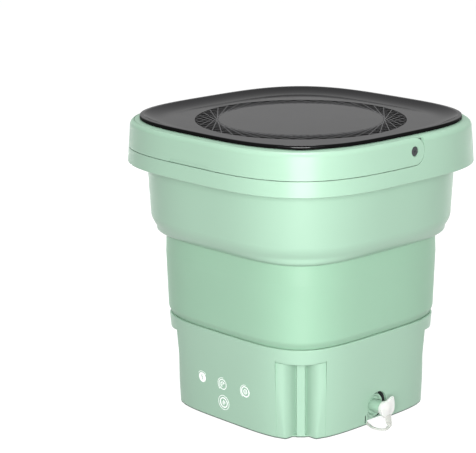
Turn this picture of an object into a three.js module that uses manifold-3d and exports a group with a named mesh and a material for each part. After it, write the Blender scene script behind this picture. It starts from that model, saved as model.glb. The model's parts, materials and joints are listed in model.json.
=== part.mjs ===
// Portable mini washer: a folding wash tub standing on a motor base, with a lift-off lid.
// Millimetres, +Z up. The origin is on the ground under the middle of the tub.
// -Y is the control side, +X the drain side, +Y the power inlet side.
import * as THREE from "three";
import { mergeVertices } from "three/addons/utils/BufferGeometryUtils.js";
import Module from "manifold-3d";

const wasm = await Module();
wasm.setup();

// ---------------------------------------------------------------- driving dimensions
const GAP = 0.3; // clearance kept between two pieces that touch
const SEAT = 0.4; // clearance round a piece that is dropped into place
const SIDES = 40; // facets round every rounded-square ring
const FAR = 400; // reach of a cutter that has to pass right through

// Half widths are measured on the middle of a flat side.
const BASE = {
  bottom: 0.4, top: 95, halfWidthLow: 106.3, halfWidthHigh: 112.6, wall: 2.4, exponent: 4.25,
};
const FLUTE = {
  top: 79.5, halfWidth: 24.5, lobeMiddle: 19.5, grooveHalf: 5.2, ribHalf: 4.3,
  lobeReach: 125.2, grooveReach: 114.8, ribReach: 119.6,
};
const NICHE = { radius: 14, y: -1.5, z: 20, floor: 99.5 };
const DRAIN = { y: -1.3, z: 18.2, boreRadius: 4.3, spoutRadius: 7.3, spoutEnd: 117, portX: 74 };
const FOLD = { bottom: 95.5, top: 181, halfWidthLow: 113.3, halfWidthHigh: 114.8, exponent: 4.2 };
const UPPER = {
  lip: 180.6, lipHalfWidth: 116.2, shoulder: 201, shoulderHalfWidth: 132.2, roll: 1.6,
  top: 266, topHalfWidth: 134.5, wall: 2.3, lipInner: 114.6,
};
const RIM = {
  bottom: 254, top: 297, halfWidth: 151.3, topHalfWidth: 148.3, exponent: 3.36, inner: 129.4,
  wall: 2.6, cornerRadius: 6.5, lidSeat: 134.9, shelf: 291.5, seatDepth: 137.4,
};
const HANDLE = {
  pivotY: 4, pivotZ: 283.2, bossRadius: 13.6, slotInner: 144.8, inner: 146,
  notchHalfWidth: 27, notchHeight: 4.6, pinRadius: 3, pinFace: 148.8,
};
const LID = {
  top: 301, halfWidth: 140.1, recess: 295.5, recessHalfWidth: 130.3, tabReach: 164.6, tabRadius: 39,
};
const FLOOR = { top: 88.5, bottom: 86, wellHalfWidth: 66, flange: 109.5 };
const SHAFT = { radius: 4, bottom: 44.5, top: 95.7 };
const GEARS = { module: 1.2, pinionTeeth: 10, wheelTeeth: 50, bottom: 54, top: 62 };
const MOTOR = { radius: 18, bottom: 9, top: 49.5, shaftRadius: 2 };
const PULSATOR = { radius: 61.5, bottom: 89.6, hubTop: 103, vanes: 3 };
const POST = { x: 80, y: 30, radius: 4.5 };
const FOOT = { spread: 60, radius: 8 };
const GEARBOX_EAR = 42; // distance of the gearbox screws from the shaft
const INLET = { z: 24, radius: 6, socketRadius: 3.6 };

// Middle lines of the soft parts, from end to end.
const TETHER = {
  radius: 1.4,
  route: [
    [100.2, -11, 3.4], [106, -12.2, 2.2], [113, -14.2, 1.7], [121, -16, 1.7], [128.5, -15, 1.7],
    [132, -10.5, 1.8], [131, -6, 2.6], [127.5, -3, 5], [123.6, -1.6, 8.9],
  ],
};
const LEADS = {
  radius: 1.3,
  motor: [[-36, 13.4, 5.7], [-34, 22, 5.8], [-24, 46, 6.4], [-13, 62, 9], [-10, 66, 9.8]],
  touch: [
    [43.6, -100.6, 14], [50, -84, 8], [53, -20, 6.4], [54, 40, 7], [52.5, 56, 9], [51.6, 60, 9.8],
  ],
  inlet: [[0, 82.2, 24], [2, 80, 19], [5, 78, 15.6], [7, 77, 13.6]],
};
// Middles (x, z) of the four touch icons on the control side.
const TOUCH_PADS = [[-31.9, 40.6], [-1.5, 40.4], [31.3, 40.7], [-1.6, 20.8]];

const gearDistance = (GEARS.module * (GEARS.pinionTeeth + GEARS.wheelTeeth)) / 2;

// ---------------------------------------------------------------- materials
const finish = (color, roughness, metalness = 0) =>
  new THREE.MeshStandardMaterial({ color, roughness, metalness });
const MATERIAL = {
  shell: finish(0xa6cfb6, 0.35),
  foldWall: finish(0x9fcab0, 0.5),
  floorPan: finish(0xa2ccb2, 0.4),
  lid: finish(0x1c1d1f, 0.15),
  silicone: finish(0xe9eae4, 0.5),
  pulsator: finish(0xd6d3d3, 0.4),
  innerPlastic: finish(0x3a3d40, 0.6),
  rubber: finish(0x26282a, 0.8),
  steel: finish(0xb6babd, 0.3, 1),
  board: finish(0x1f5a3a, 0.6),
  copper: finish(0x8c3b25, 0.6),
  leadJacket: finish(0x801f1a, 0.55),
  nylon: finish(0xe4e0d2, 0.5),
};

// ---------------------------------------------------------------- solids
function solidOf(geometry) {
  const bare = geometry.index ? geometry.toNonIndexed() : geometry.clone();
  bare.deleteAttribute("normal");
  bare.deleteAttribute("uv");
  const merged = mergeVertices(bare, 1e-4);
  const index = merged.index.array;
  const triangles = [];
  for (let i = 0; i < index.length; i += 3) {
    const [a, b, c] = [index[i], index[i + 1], index[i + 2]];
    if (a !== b && b !== c && c !== a) triangles.push(a, b, c);
  }
  const vertProperties = new Float32Array(merged.attributes.position.array);
  const build = (order) =>
    new wasm.Manifold(new wasm.Mesh({ numProp: 3, vertProperties, triVerts: new Uint32Array(order) }));
  const solid = build(triangles);
  if (solid.volume() > 0) return solid;
  const flipped = [];
  for (let i = 0; i < triangles.length; i += 3) {
    flipped.push(triangles[i], triangles[i + 2], triangles[i + 1]);
  }
  return build(flipped);
}

function geometryOf(solid) {
  const mesh = solid.getMesh();
  const geometry = new THREE.BufferGeometry();
  geometry.setAttribute("position", new THREE.BufferAttribute(new Float32Array(mesh.vertProperties), 3));
  geometry.setIndex(new THREE.BufferAttribute(new Uint32Array(mesh.triVerts), 1));
  geometry.computeVertexNormals();
  return geometry;
}

const join = (first, ...rest) => rest.reduce((whole, piece) => whole.add(piece), first);
const cut = (first, ...rest) => rest.reduce((whole, piece) => whole.subtract(piece), first);
const meet = (first, second) => first.intersect(second);

// Superellipse exponent of the tub's plan at a height: squarer at the base, rounder at the rim.
function exponentAt(z) {
  const blend = THREE.MathUtils.smoothstep(z, FOLD.top, FOLD.top + 9);
  const low = THREE.MathUtils.mapLinear(Math.min(z, FOLD.top), 0, FOLD.top, BASE.exponent, FOLD.exponent);
  return THREE.MathUtils.lerp(low, RIM.exponent, blend);
}

// Half width of the base's outer face at a height.
const baseHalfWidth = (z) =>
  THREE.MathUtils.mapLinear(z, 0, BASE.top, BASE.halfWidthLow, BASE.halfWidthHigh);

function latheAboutZ(outline, sides) {
  const closed = [...outline];
  const [first, last] = [outline[0], outline[outline.length - 1]];
  if (first[0] > 0 || last[0] > 0) closed.push(first);
  const points = closed.map(([radius, height]) => new THREE.Vector2(radius, height));
  return new THREE.LatheGeometry(points, sides).rotateX(Math.PI / 2);
}

// A round solid from [radius, z] pairs.
const round = (outline, sides = 20) => solidOf(latheAboutZ(outline, sides));

// A rounded-square solid from [half width, z] pairs.
function squared(outline) {
  const geometry = latheAboutZ(outline, SIDES);
  const position = geometry.attributes.position;
  for (let i = 0; i < position.count; i++) {
    const [x, y, z] = [position.getX(i), position.getY(i), position.getZ(i)];
    const radius = Math.hypot(x, y);
    if (radius < 1e-6) continue;
    const n = exponentAt(z);
    const stretch = (Math.abs(x / radius) ** n + Math.abs(y / radius) ** n) ** (-1 / n);
    position.setXY(i, x * stretch, y * stretch);
  }
  return solidOf(geometry);
}

const ring = (inner, outer, bottom, top) => [[inner, bottom], [outer, bottom], [outer, top], [inner, top]];
const disc = (radius, bottom, top) => [[0, bottom], [radius, bottom], [radius, top], [0, top]];

function block(x0, x1, y0, y1, z0, z1) {
  const geometry = new THREE.BoxGeometry(x1 - x0, y1 - y0, z1 - z0);
  return solidOf(geometry.translate((x0 + x1) / 2, (y0 + y1) / 2, (z0 + z1) / 2));
}

// A plan shape raised from one height to another.
function raise(shape, bottom, top, curveSegments = 8) {
  const options = { depth: top - bottom, bevelEnabled: false, curveSegments };
  return solidOf(new THREE.ExtrudeGeometry(shape, options).translate(0, 0, bottom));
}

// A shape drawn in (y, z) and pushed along X from x0 to x1.
function alongX(shape, x0, x1, curveSegments = 8) {
  const options = { depth: x1 - x0, bevelEnabled: false, curveSegments };
  const geometry = new THREE.ExtrudeGeometry(shape, options);
  return solidOf(geometry.rotateX(Math.PI / 2).rotateZ(Math.PI / 2).translate(x0, 0, 0));
}

const rodX = (radius, x0, x1, y, z, sides = 20) =>
  round(disc(radius, x0, x1), sides).rotate([0, 90, 0]).translate([0, y, z]);
const rodY = (radius, y0, y1, x, z, sides = 20) =>
  round(disc(radius, y0, y1), sides).rotate([-90, 0, 0]).translate([x, 0, z]);
const rodZ = (radius, z0, z1, x, y, sides = 16) => round(disc(radius, z0, z1), sides).translate([x, y, 0]);

// A round bar, or a pipe when it has an inner radius, along a smooth line through points.
function tube(points, radius, steps, { inner = 0, sides = 8 } = {}) {
  const section = new THREE.Shape().absarc(0, 0, radius, 0, Math.PI * 2);
  if (inner > 0) section.holes.push(new THREE.Path().absarc(0, 0, inner, 0, Math.PI * 2, true));
  const path = new THREE.CatmullRomCurve3(points.map((p) => new THREE.Vector3(...p)));
  const options = { steps, extrudePath: path, curveSegments: sides / 2, bevelEnabled: false };
  return solidOf(new THREE.ExtrudeGeometry(section, options));
}

// A pan-head screw standing on its head, from its lowest point upwards.
const screw = (bottom, length, headRadius = 3.2, shankRadius = 1.3) =>
  round([[0, bottom], [headRadius - 0.5, bottom], [headRadius, bottom + 0.5], [headRadius, bottom + 0.9],
    [shankRadius, bottom + 0.9], [shankRadius, bottom + length], [0, bottom + length]], 8);

const corners = [[1, -1], [1, 1], [-1, 1], [-1, -1]];
const DIAGONALS = [45, 135, 225, 315]; // degrees

// ---------------------------------------------------------------- base
// Cutter for the fluted corner: two lobes, two grooves and a rib, grown by a margin.
function fluteCutter(margin, top) {
  const { lobeMiddle, grooveHalf, ribHalf } = FLUTE;
  const edge = FLUTE.halfWidth + margin;
  const lobe = FLUTE.lobeReach - margin;
  const groove = FLUTE.grooveReach - margin;
  const rib = FLUTE.ribReach - margin;
  const bulge = [lobe - groove, lobeMiddle - grooveHalf];
  const quarter = Math.PI / 2;
  const shape = new THREE.Shape();
  shape.moveTo(FAR / 2, -edge);
  shape.lineTo(lobe, -edge);
  shape.absellipse(groove, -lobeMiddle, ...bulge, 0, quarter, false, 0);
  shape.lineTo(groove, -ribHalf - 0.2);
  shape.lineTo(rib, -ribHalf + margin / 2);
  shape.lineTo(rib, ribHalf - margin / 2);
  shape.lineTo(groove, ribHalf + 0.2);
  shape.absellipse(groove, lobeMiddle, ...bulge, -quarter, 0, false, 0);
  shape.lineTo(lobe, edge);
  shape.lineTo(FAR / 2, edge);
  return raise(shape, -10, top, 4);
}

function fourFlutes(margin, top) {
  const one = fluteCutter(margin, top);
  return join(...DIAGONALS.map((turn) => one.rotate([0, 0, turn])));
}

// Cutter for the drain niche, open at the bottom edge, grown by a margin.
function nicheCutter(margin) {
  const shape = new THREE.Shape();
  const radius = NICHE.radius + margin;
  shape.moveTo(NICHE.y - radius, -10);
  shape.lineTo(NICHE.y + radius, -10);
  shape.lineTo(NICHE.y + radius, NICHE.z);
  shape.absarc(NICHE.y, NICHE.z, radius, 0, Math.PI, false);
  return alongX(shape, NICHE.floor - margin, FAR / 2);
}

function baseHousing() {
  const low = BASE.bottom;
  const wall = BASE.wall;
  const outside = squared([
    [0, low], [105.2, low], [106.1, low + 0.8], [baseHalfWidth(2.4), 2.4],
    [baseHalfWidth(94), 94], [baseHalfWidth(95) - 0.6, BASE.top], [0, BASE.top],
  ]);
  const inside = squared([
    [0, -5], [baseHalfWidth(-5) - wall, -5], [baseHalfWidth(100) - wall, 100], [0, 100],
  ]);
  const shell = cut(
    cut(outside, fourFlutes(0, FLUTE.top), nicheCutter(0)),
    cut(inside, fourFlutes(wall, FLUTE.top + wall), nicheCutter(wall)),
  );
  const spoutHole = rodX(DRAIN.spoutRadius + SEAT, 90, 120, DRAIN.y, DRAIN.z);
  const inletHole = rodY(INLET.radius + SEAT, 95, 120, 0, INLET.z);
  const tetherSlit = block(106.0, 115, -18.1, -16.9, 3.5, 12.5);
  return cut(shell, spoutHole, inletHole, tetherSlit);
}

function tubFloor() {
  const pan = squared([
    [0, FLOOR.bottom], [FLOOR.wellHalfWidth, FLOOR.bottom], [72, 87.6], [104, 89.6], [FLOOR.flange, 90.4],
    [FLOOR.flange, 93], [104, 92.2], [72, 90.2], [FLOOR.wellHalfWidth, FLOOR.top], [0, FLOOR.top],
  ]);
  const hub = round([
    [11.3, 68], [14, 68], [14, FLOOR.bottom], [31, FLOOR.bottom], [31, FLOOR.top], [11.3, FLOOR.top],
    [11.3, 83.5], [6, 83.5], [6, 82], [11.3, 82],
  ]);
  const drainPort = rodZ(5.8, 72, 88.8, DRAIN.portX, 0);
  const coverPosts = corners.map(([sx, sy]) => rodZ(POST.radius, 4.5, 89.4, sx * POST.x, sy * POST.y, 8));
  const gearPosts = earsAt(POST.radius, 68, 87);
  const body = join(cut(pan, rodZ(30, 80, 95, 0, 0, 24)), hub, drainPort, ...coverPosts, ...gearPosts);
  const coverHoles = corners.map(([sx, sy]) => rodZ(1.6, 0, 30, sx * POST.x, sy * POST.y, 8));
  const gearHoles = earsAt(1.6, 60, 80);
  return cut(body, rodZ(4.5, 60, 100, DRAIN.portX, 0), ...coverHoles, ...gearHoles);
}

function bottomCover() {
  const margin = BASE.wall + SEAT;
  const plate = squared([[0, 1.6], [103.2, 1.6], [103.4, 4], [0, 4]]);
  const holes = corners.flatMap(([sx, sy]) => [
    rodZ(1.7, 0, 6, sx * POST.x, sy * POST.y, 10),
    rodZ(3.6, 0, 2.9, sx * POST.x, sy * POST.y, 12),
    rodZ(2.8, 0, 6, sx * FOOT.spread, sy * FOOT.spread, 12),
  ]);
  return cut(plate, fourFlutes(margin, 20), nicheCutter(margin), ...holes);
}

const foot = () => round([
  [0, 0], [FOOT.radius - 0.6, 0], [FOOT.radius, 0.5], [FOOT.radius, 1.2], [2.5, 1.2],
  [2.5, 6.5], [1.6, 7.4], [0, 7.4],
], 12);

// ---------------------------------------------------------------- drive
function gearShape(teeth, boreRadius, addendum) {
  const pitch = (GEARS.module * teeth) / 2;
  const pressure = THREE.MathUtils.degToRad(20);
  const baseRadius = pitch * Math.cos(pressure);
  const backlash = 0.22;
  const involute = (angle) => Math.tan(angle) - angle;
  const halfTooth = (radius) => {
    const angle = Math.acos(Math.min(1, baseRadius / Math.max(radius, baseRadius)));
    return Math.PI / (2 * teeth) - backlash / pitch + involute(pressure) - involute(angle);
  };
  const radii = [pitch - 1.35 * GEARS.module, pitch + addendum * GEARS.module];
  const shape = new THREE.Shape();
  for (let tooth = 0; tooth < teeth; tooth++) {
    const middle = (tooth * 2 * Math.PI) / teeth;
    for (const radius of radii) {
      const angle = middle - halfTooth(radius);
      const point = [radius * Math.cos(angle), radius * Math.sin(angle)];
      if (tooth === 0 && radius === radii[0]) shape.moveTo(...point);
      else shape.lineTo(...point);
    }
    for (const radius of [...radii].reverse()) {
      const angle = middle + halfTooth(radius);
      shape.lineTo(radius * Math.cos(angle), radius * Math.sin(angle));
    }
  }
  shape.holes.push(new THREE.Path().absarc(0, 0, boreRadius, 0, Math.PI * 2, true));
  return shape;
}

const driveWheel = () =>
  raise(gearShape(GEARS.wheelTeeth, SHAFT.radius + GAP, 0.8), GEARS.bottom, GEARS.top);
const pinion = () =>
  raise(gearShape(GEARS.pinionTeeth, MOTOR.shaftRadius + GAP, 0.8), GEARS.bottom - 0.5, GEARS.top + 0.5)
    .rotate([0, 0, 180 / GEARS.pinionTeeth]);

// Outline round the wheel and the pinion, drawn as two arcs and their tangents.
function gearboxOutline(wheelRadius, pinionRadius) {
  const lean = Math.acos((wheelRadius - pinionRadius) / gearDistance);
  const shape = new THREE.Shape();
  shape.absarc(0, 0, wheelRadius, -Math.PI + lean, Math.PI - lean, false);
  shape.absarc(-gearDistance, 0, pinionRadius, Math.PI - lean, Math.PI + lean, false);
  return shape;
}

// A rod at each of the four gearbox screws.
function earsAt(radius, bottom, top) {
  const one = rodZ(radius, bottom, top, GEARBOX_EAR, 0, 8);
  return DIAGONALS.map((turn) => one.rotate([0, 0, turn]));
}

function gearboxTray() {
  const body = join(
    cut(raise(gearboxOutline(37.5, 13), 50, 64.2), raise(gearboxOutline(35, 10.5), 52.5, 70)),
    ...earsAt(5.2, 50, 64.2),
    rodZ(14, 43, 51, 0, 0, 20),
  );
  const bearingSeat = rodZ(11.3, 44.5, 60, 0, 0, 20);
  const shaftHole = rodZ(5, 40, 60, -gearDistance, 0, 12);
  return cut(body, bearingSeat, shaftHole, ...earsAt(1.8, 40, 80));
}

const gearboxCover = () => cut(
  join(raise(gearboxOutline(37.5, 13), 64.5, 67.5), ...earsAt(5.2, 64.5, 67.5)),
  rodZ(5.2, 60, 70, 0, 0, 16),
  ...earsAt(1.8, 60, 70),
);

const bearing = (bottom) => round(ring(SHAFT.radius + GAP, 11, bottom, bottom + 7));

const shaftSeal = () => round([
  [4.4, 85.4], [5.2, 83.8], [11, 83.8], [11, 88.2], [6.4, 88.2], [5, 86.6], [4.4, 86.6],
], 20);

const outputShaft = () => cut(
  round([[0, SHAFT.bottom + 0.6], [3.4, SHAFT.bottom + 0.6], [SHAFT.radius, SHAFT.bottom + 1.2],
    [SHAFT.radius, SHAFT.top], [0, SHAFT.top]], 16),
  rodZ(2.2, 84, 100, 0, 0, 10),
);

const motorCan = () => round([
  [16.5, MOTOR.bottom], [MOTOR.radius, MOTOR.bottom], [MOTOR.radius, 48.3], [17, MOTOR.top],
  [3, MOTOR.top], [3, 47.5], [16.5, 47.5],
], 20);

const motorEndCap = () => join(
  round([[3, 6.4], [7, 6.4], [7, 7.2], [16.6, 7.2], [17.8, 8], [17.8, 8.7], [3, 8.7]], 16),
  block(-1.2, 1.2, 8.5, 12.5, 5.2, 7.4),
  block(-1.2, 1.2, -12.5, -8.5, 5.2, 7.4),
);

const motorRotor = () => round([
  [0, 5], [MOTOR.shaftRadius, 5], [MOTOR.shaftRadius, 15], [13, 16], [13, 43], [MOTOR.shaftRadius, 44],
  [MOTOR.shaftRadius, GEARS.top + 0.8], [0, GEARS.top + 0.8],
], 16);

// ---------------------------------------------------------------- pulsator
function vaneShape() {
  const shape = new THREE.Shape();
  shape.moveTo(5, -3.5);
  shape.quadraticCurveTo(34, -6, 58, 15);
  shape.lineTo(57, 18.5);
  shape.quadraticCurveTo(30, 2, 5, 3.5);
  return shape;
}

function pulsator() {
  const plate = round([
    [SHAFT.radius + GAP, PULSATOR.bottom], [10, PULSATOR.bottom], [10, 91.2], [58, 91.2], [59, 89.8],
    [PULSATOR.radius, 89.8], [PULSATOR.radius, 92.4], [60, 93.8], [16, 97.4], [10, PULSATOR.hubTop],
    [4.8, PULSATOR.hubTop], [4.8, 100.2], [2.3, 100.2], [2.3, 96.4], [SHAFT.radius + GAP, 96.4],
  ], 28);
  const envelope = round([[8.5, 92], [61, 92], [61, 94.5], [50, 99.5], [14, 102.6], [8.5, 102.6]], 28);
  const vane = meet(raise(vaneShape(), 91.5, 104, 5), envelope);
  const vanes = [0, 120, 240].map((turn) => vane.rotate([0, 0, turn]));
  return join(plate, ...vanes);
}

const pulsatorScrew = () => round([
  [0, 85], [1.9, 85], [1.9, 100.5], [4.4, 100.5], [4.4, 102.6], [3.4, 103.2], [0, 103.2],
], 14);

// ---------------------------------------------------------------- drain
const drainSpout = () => cut(
  solidOf(new THREE.LatheGeometry([[0, 88], [5.7, 88], [5.7, 94.5], [11, 94.5], [11, 96.8],
    [DRAIN.spoutRadius, 96.8], [DRAIN.spoutRadius, DRAIN.spoutEnd - 0.6],
    [DRAIN.spoutRadius - 0.6, DRAIN.spoutEnd], [0, DRAIN.spoutEnd],
  ].map((p) => new THREE.Vector2(...p)), 24).rotateZ(-Math.PI / 2)).translate([0, DRAIN.y, DRAIN.z]),
  rodX(DRAIN.boreRadius, 80, 130, DRAIN.y, DRAIN.z),
);

function drainHose() {
  const bend = 12.5;
  const x = DRAIN.portX;
  const low = DRAIN.z;
  const points = [[x, 0, 84.5], [x, 0, 72], [x, 0, 56], [x, 0, low + bend]];
  for (const turn of [22.5, 45, 67.5]) {
    const angle = THREE.MathUtils.degToRad(turn);
    const along = Math.sin(angle);
    points.push([x + bend * (1 - Math.cos(angle)), DRAIN.y * along, low + bend * (1 - along)]);
  }
  points.push([x + bend, DRAIN.y, low], [93.8, DRAIN.y, low]);
  return tube(points, 8, 12, { inner: 6.2, sides: 10 });
}

const hoseClip = () => join(
  round(ring(8.4, 9.6, 0, 5), 20),
  block(9, 13, -2, 2, 0.5, 4.5),
);

function drainStrainer() {
  const body = round([
    [0, 92.2], [8, 91.2], [8.4, 92], [6, 93.4], [0, 93.8],
  ], 14);
  const spigot = round(ring(3, 4.1, 84, 92.6), 10);
  const slots = [0, 60, 120, 180, 240, 300].map((turn) =>
    rodZ(0.65, 90, 96, 2, 0, 6).rotate([0, 0, turn]));
  return cut(join(body, spigot), ...slots);
}

function drainPlug() {
  const stemAndCap = solidOf(new THREE.LatheGeometry([
    [0, 102], [3.4, 102], [4, 103], [4, DRAIN.spoutEnd + GAP], [7.2, DRAIN.spoutEnd + GAP],
    [7.8, DRAIN.spoutEnd + 1], [7.8, 122.6], [6.8, 124], [0, 124.6],
  ].map((p) => new THREE.Vector2(...p)), 20).rotateZ(-Math.PI / 2)).translate([0, DRAIN.y, DRAIN.z]);
  const leaf = new THREE.Shape();
  leaf.moveTo(DRAIN.y - 6.6, DRAIN.z + 2);
  leaf.lineTo(DRAIN.y + 6.8, DRAIN.z + 2);
  leaf.quadraticCurveTo(DRAIN.y + 7.6, DRAIN.z + 8, DRAIN.y + 6, DRAIN.z + 13);
  leaf.quadraticCurveTo(DRAIN.y - 2.5, DRAIN.z + 11.5, DRAIN.y - 6.6, DRAIN.z + 2);
  return join(stemAndCap, alongX(leaf, 120.4, 123.2, 4));
}

// ---------------------------------------------------------------- electrics
const controlBoard = () => join(
  block(-8, 50, 52, 90, 9, 10.6),
  block(0, 12, 58, 74, 10, 22),
  block(18, 28, 60, 68, 10, 16),
  rodZ(5, 10, 26, 38, 62, 12),
  rodZ(4, 10, 20, 38, 78, 12),
);

const touchBoard = () => join(
  block(-42, 42, -101.4, -99.8, 12, 52),
  ...TOUCH_PADS.map(([x, z]) => rodY(4.5, -103.6, -101, x, z, 12)),
);

const powerInlet = () => cut(
  join(
    rodY(INLET.radius, 88, 108.4, 0, INLET.z),
    rodY(9, 100, 104.4, 0, INLET.z),
    block(-5, 5, 84, 90, INLET.z - 4, INLET.z + 4),
  ),
  rodY(INLET.socketRadius, 94, 112, 0, INLET.z),
);

// ---------------------------------------------------------------- tub walls
const foldWall = () => squared([
  [104.5, 93.4], [109.5, 93.4], [109.5, FOLD.bottom], [112.2, FOLD.bottom], [113.1, 97.5],
  [FOLD.halfWidthLow, 101], [FOLD.halfWidthHigh, 160], [114.2, 176], [114.2, 182.9],
  [116.2, 183], [117.8, 183.9], [117.6, 185.6], [113, 184.6], [112.2, 176],
  [FOLD.halfWidthHigh - 2.2, 160], [FOLD.halfWidthLow - 2.2, 101], [109.9, 97.5], [109.9, 95.3],
  [104.5, 95.3],
]);

const wallFootRing = () => squared(ring(104.6, 109.5, 95.7, 98.4));

function upperWall() {
  const { lip, lipHalfWidth, shoulder, shoulderHalfWidth, roll, wall } = UPPER;
  const quarter = (inset) => [0, 22.5, 45, 67.5, 90].map((degrees) => {
    const angle = THREE.MathUtils.degToRad(degrees);
    const across = Math.abs(Math.sin(angle)) ** (2 / roll);
    const down = Math.abs(Math.cos(angle)) ** (2 / roll);
    return [
      lipHalfWidth + (shoulderHalfWidth - lipHalfWidth - inset) * across,
      shoulder - (shoulder - lip - inset + 0.3 * Math.sign(inset)) * down,
    ];
  });
  return squared([
    [UPPER.lipInner, lip + 0.3],
    ...quarter(0), [UPPER.topHalfWidth, 254], [UPPER.topHalfWidth, UPPER.top],
    [UPPER.topHalfWidth - wall, UPPER.top], [UPPER.topHalfWidth - wall, 254],
    ...quarter(wall).reverse(),
    [UPPER.lipInner, lip + 1.9],
  ]);
}

// ---------------------------------------------------------------- rim and handle
const rimOutside = () => {
  const centre = [RIM.topHalfWidth - RIM.cornerRadius, RIM.top - RIM.cornerRadius];
  const arc = [0, 30, 60, 90].map((degrees) => {
    const angle = THREE.MathUtils.degToRad(degrees);
    return [centre[0] + RIM.cornerRadius * Math.cos(angle), centre[1] + RIM.cornerRadius * Math.sin(angle)];
  });
  return squared([
    [0, RIM.bottom], [RIM.halfWidth - 0.8, RIM.bottom], [RIM.halfWidth, RIM.bottom + 0.8],
    ...arc, [0, RIM.top],
  ]);
};

// The side view of the handle: a bar running to -Y with a round end at the pivot, grown by a margin.
function handleSide(margin, raiseBehind) {
  const radius = HANDLE.bossRadius + margin;
  const { pivotY, pivotZ } = HANDLE;
  const shape = new THREE.Shape();
  shape.moveTo(-FAR / 2, pivotZ - radius);
  shape.lineTo(pivotY, pivotZ - radius);
  if (raiseBehind) {
    shape.absarc(pivotY, pivotZ, radius, -Math.PI / 2, 0, false);
    shape.lineTo(pivotY + radius, pivotZ + 40);
    shape.lineTo(-FAR / 2, pivotZ + 40);
  } else {
    shape.absarc(pivotY, pivotZ, radius, -Math.PI / 2, Math.PI / 2, false);
    shape.lineTo(-FAR / 2, pivotZ + radius);
  }
  return shape;
}

const bothSides = (cutterAt) => [1, -1].map((side) => cutterAt(side));

function rimFrame() {
  const { inner, wall, top, shelf, lidSeat, seatDepth } = RIM;
  const bore = squared([[0, 240], [inner, 240], [inner, shelf], [lidSeat, shelf], [lidSeat, 310], [0, 310]]);
  const slotOuter = (margin) => cut(
    alongX(handleSide(margin, true), -FAR / 2, FAR / 2),
    squared([[0, 200], [HANDLE.slotInner - margin, 200], [HANDLE.slotInner - margin, 340], [0, 340]]),
  );
  const cavity = squared([
    [inner - 5, 250], [UPPER.topHalfWidth + 0.5, 250], [UPPER.topHalfWidth + 0.5, RIM.bottom + wall],
    [RIM.halfWidth - wall, RIM.bottom + wall], [RIM.topHalfWidth - wall, top - wall - 1.2],
    [RIM.topHalfWidth - wall - 2, top - wall], [seatDepth, top - wall], [seatDepth, shelf - wall],
    [inner + wall, shelf - wall], [inner + wall, 258], [inner - 5, 258],
  ]);
  const hollow = cut(cavity, slotOuter(wall));
  const pinHoles = bothSides((side) =>
    rodX(HANDLE.pinRadius + GAP, side * 132, side * 160, HANDLE.pivotY, HANDLE.pivotZ));
  return cut(rimOutside(), bore, slotOuter(0.1), hollow, ...pinHoles);
}

function handle() {
  const { notchHalfWidth, notchHeight, pivotY, pivotZ, bossRadius, pinFace } = HANDLE;
  const band = cut(rimOutside(), squared([[0, 200], [HANDLE.inner, 200], [HANDLE.inner, 340], [0, 340]]));
  const bail = meet(band, alongX(handleSide(-0.3, false), -FAR / 2, FAR / 2));
  const low = pivotZ - bossRadius;
  const notch = new THREE.Shape();
  notch.moveTo(-notchHalfWidth - 3, low - 5);
  notch.lineTo(-notchHalfWidth - 3, low);
  notch.quadraticCurveTo(-notchHalfWidth, low, -notchHalfWidth + 2, low + notchHeight);
  notch.lineTo(notchHalfWidth - 2, low + notchHeight);
  notch.quadraticCurveTo(notchHalfWidth, low, notchHalfWidth + 3, low);
  notch.lineTo(notchHalfWidth + 3, low - 5);
  const notchCutter = alongX(notch, 0, 40, 3).rotate([0, 0, -90]).translate([0, -130, 0]);
  const pinHoles = bothSides((side) => rodX(HANDLE.pinRadius + GAP, side * 140, side * 160, pivotY, pivotZ));
  const headHoles = bothSides((side) => rodX(5, side * (pinFace - 1.5), side * 160, pivotY, pivotZ));
  return cut(bail, notchCutter, ...pinHoles, ...headHoles);
}

// A pivot pin: a flat head in the handle's face and a shank into the rim.
function pivotPin(side) {
  const { pivotY, pivotZ, pinRadius, pinFace } = HANDLE;
  const shank = rodX(pinRadius, side * 138.6, side * (pinFace - 1), pivotY, pivotZ, 16);
  const head = rodX(4.6, side * (pinFace - 1.2), side * pinFace, pivotY, pivotZ, 16);
  return join(shank, head);
}

// ---------------------------------------------------------------- lid
function lidPanel() {
  const edge = LID.halfWidth;
  const panel = squared([
    [0, LID.recess], [LID.recessHalfWidth, LID.recess], [135.4, LID.top], [edge - 0.7, LID.top],
    [edge, LID.top - 0.7], [edge, 297.9], [edge - 0.6, 297.3], [134.4, 297.3], [134.4, 293.1],
    [128.8, 293.1], [128.8, 286.5], [126.4, 286.5], [126.4, 292.7], [0, 292.7],
  ]);
  const tabCentre = (LID.tabReach - LID.tabRadius) * Math.SQRT1_2;
  const tab = cut(
    rodZ(LID.tabRadius, 297.6, 299.9, tabCentre, -tabCentre, 40),
    squared([[0, 290], [137, 290], [137, 310], [0, 310]]),
  );
  return join(panel, tab);
}

const lidSeal = () => squared(ring(129.9, 133.9, 291.8, 292.8));

// ---------------------------------------------------------------- assembly
function piece(name, solid, material, position = [0, 0, 0], turnZ = 0) {
  const mesh = new THREE.Mesh(geometryOf(solid), material);
  mesh.name = name;
  mesh.position.set(...position);
  mesh.rotation.z = turnZ;
  return mesh;
}

function group(...children) {
  const holder = new THREE.Group();
  holder.add(...children);
  return holder;
}

const cornerPieces = (name, spreadX, spreadY, solid, material) =>
  corners.map(([sx, sy], i) => piece(`${name}_${i + 1}`, solid, material, [sx * spreadX, sy * spreadY, 0]));

const earSpread = GEARBOX_EAR * Math.SQRT1_2;

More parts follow.
